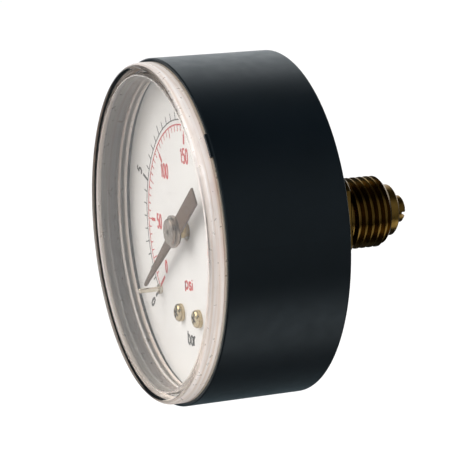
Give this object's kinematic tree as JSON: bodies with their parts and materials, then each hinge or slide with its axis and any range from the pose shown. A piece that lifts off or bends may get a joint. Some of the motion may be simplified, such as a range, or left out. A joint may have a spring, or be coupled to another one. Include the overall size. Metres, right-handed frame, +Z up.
{
  "type": "pressure gauge",
  "caption": "Small round dial pressure gauge with a clear front window and a threaded brass stud at the centre of its back; pressure turns the pointer over a double scale.",
  "frame": {"origin": "centre of the sealing shoulder, where the square of the stem meets the threaded stud", "axes": "+Y along the stud, out of the back of the gauge; the dial faces -Y; +Z up on the dial; +X to the reader's right"},
  "size_m": [0.062, 0.0502, 0.062],
  "materials": {
    "case_black": "satin moulded plastic, near black with a blue tint",
    "window_clear": "clear moulded plastic, polished",
    "dial_white": "matt warm white paint on sheet aluminium",
    "screw_brass": "yellow plated, semi-bright",
    "brass_bright": "turned brass",
    "pin_nickel": "pale brass wire, bright",
    "brass_dark": "pressed and turned brass, slightly tarnished",
    "screw_steel": "zinc plated",
    "bronze": "phosphor bronze, drawn",
    "pivot_steel": "bright turned steel",
    "movement_brass": "stamped and cut brass, bright",
    "pointer_grey": "taupe grey matt paint on aluminium",
    "pointer_hub_grey": "taupe grey paint, slightly glossy"
  },
  "bodies": {
    "case": {"case": "case_black", "window": "window_clear", "dial": "dial_white", "dial_screws": "screw_brass", "dial_spacers": "brass_bright", "stop_pin": "pin_nickel", "socket": "brass_dark", "throttle_screw": "brass_bright", "passage_plugs": "brass_bright", "case_screws": "screw_steel", "bourdon_tube": "bronze", "front_plate": "movement_brass", "rear_plate": "movement_brass", "pillars": "brass_bright", "pillar_screws": "screw_steel", "movement_screws": "screw_steel", "hairspring": "bronze", "hairspring_stud": "brass_bright"},
    "sector": {"sector_gear": "movement_brass", "sector_arbor": "pivot_steel", "tail_pin": "pivot_steel"},
    "pointer": {"pointer": "pointer_grey", "pointer_hub": "pointer_hub_grey", "pointer_boss": "brass_bright", "pinion_arbor": "pivot_steel", "hairspring_collet": "brass_bright"},
    "tube_tip": {"tube_end_piece": "brass_bright", "tip_pin": "pivot_steel"},
    "link": {"link": "screw_steel"}
  },
  "joints": [
    {"name": "sector_turn", "type": "hinge", "parent": "case", "child": "sector", "pos_m": [0.01169, -0.02345, -0.00675], "axis": [0, 1, 0], "range_deg": [-32.44, 0], "stiffness_Nm_per_rad": 0.015, "springref_deg": 2.01},
    {"name": "pointer_turn", "type": "hinge", "parent": "case", "child": "pointer", "pos_m": [0, -0.02345, 0], "axis": [0, 1, 0], "range_deg": [0, 259.5], "deforming": ["hairspring"]},
    {"name": "tube_tip_turn", "type": "hinge", "parent": "case", "child": "tube_tip", "pos_m": [-0.00472, -0.02345, 0.00664], "axis": [0, 1, 0], "range_deg": [-7.2, 0], "deforming": ["bourdon_tube"]},
    {"name": "link_turn", "type": "hinge", "parent": "tube_tip", "child": "link", "pos_m": [0.01663, -0.02345, -0.00197], "axis": [0, 1, 0], "range_deg": [0, 12.58]}
  ],
  "couplings": [
    {"joint": "pointer_turn", "follows": "sector_turn", "ratio": -8},
    {"joint": "tube_tip_turn", "follows": "sector_turn", "ratio": 0.222},
    {"joint": "link_turn", "follows": "sector_turn", "ratio": -0.3879}
  ]
}
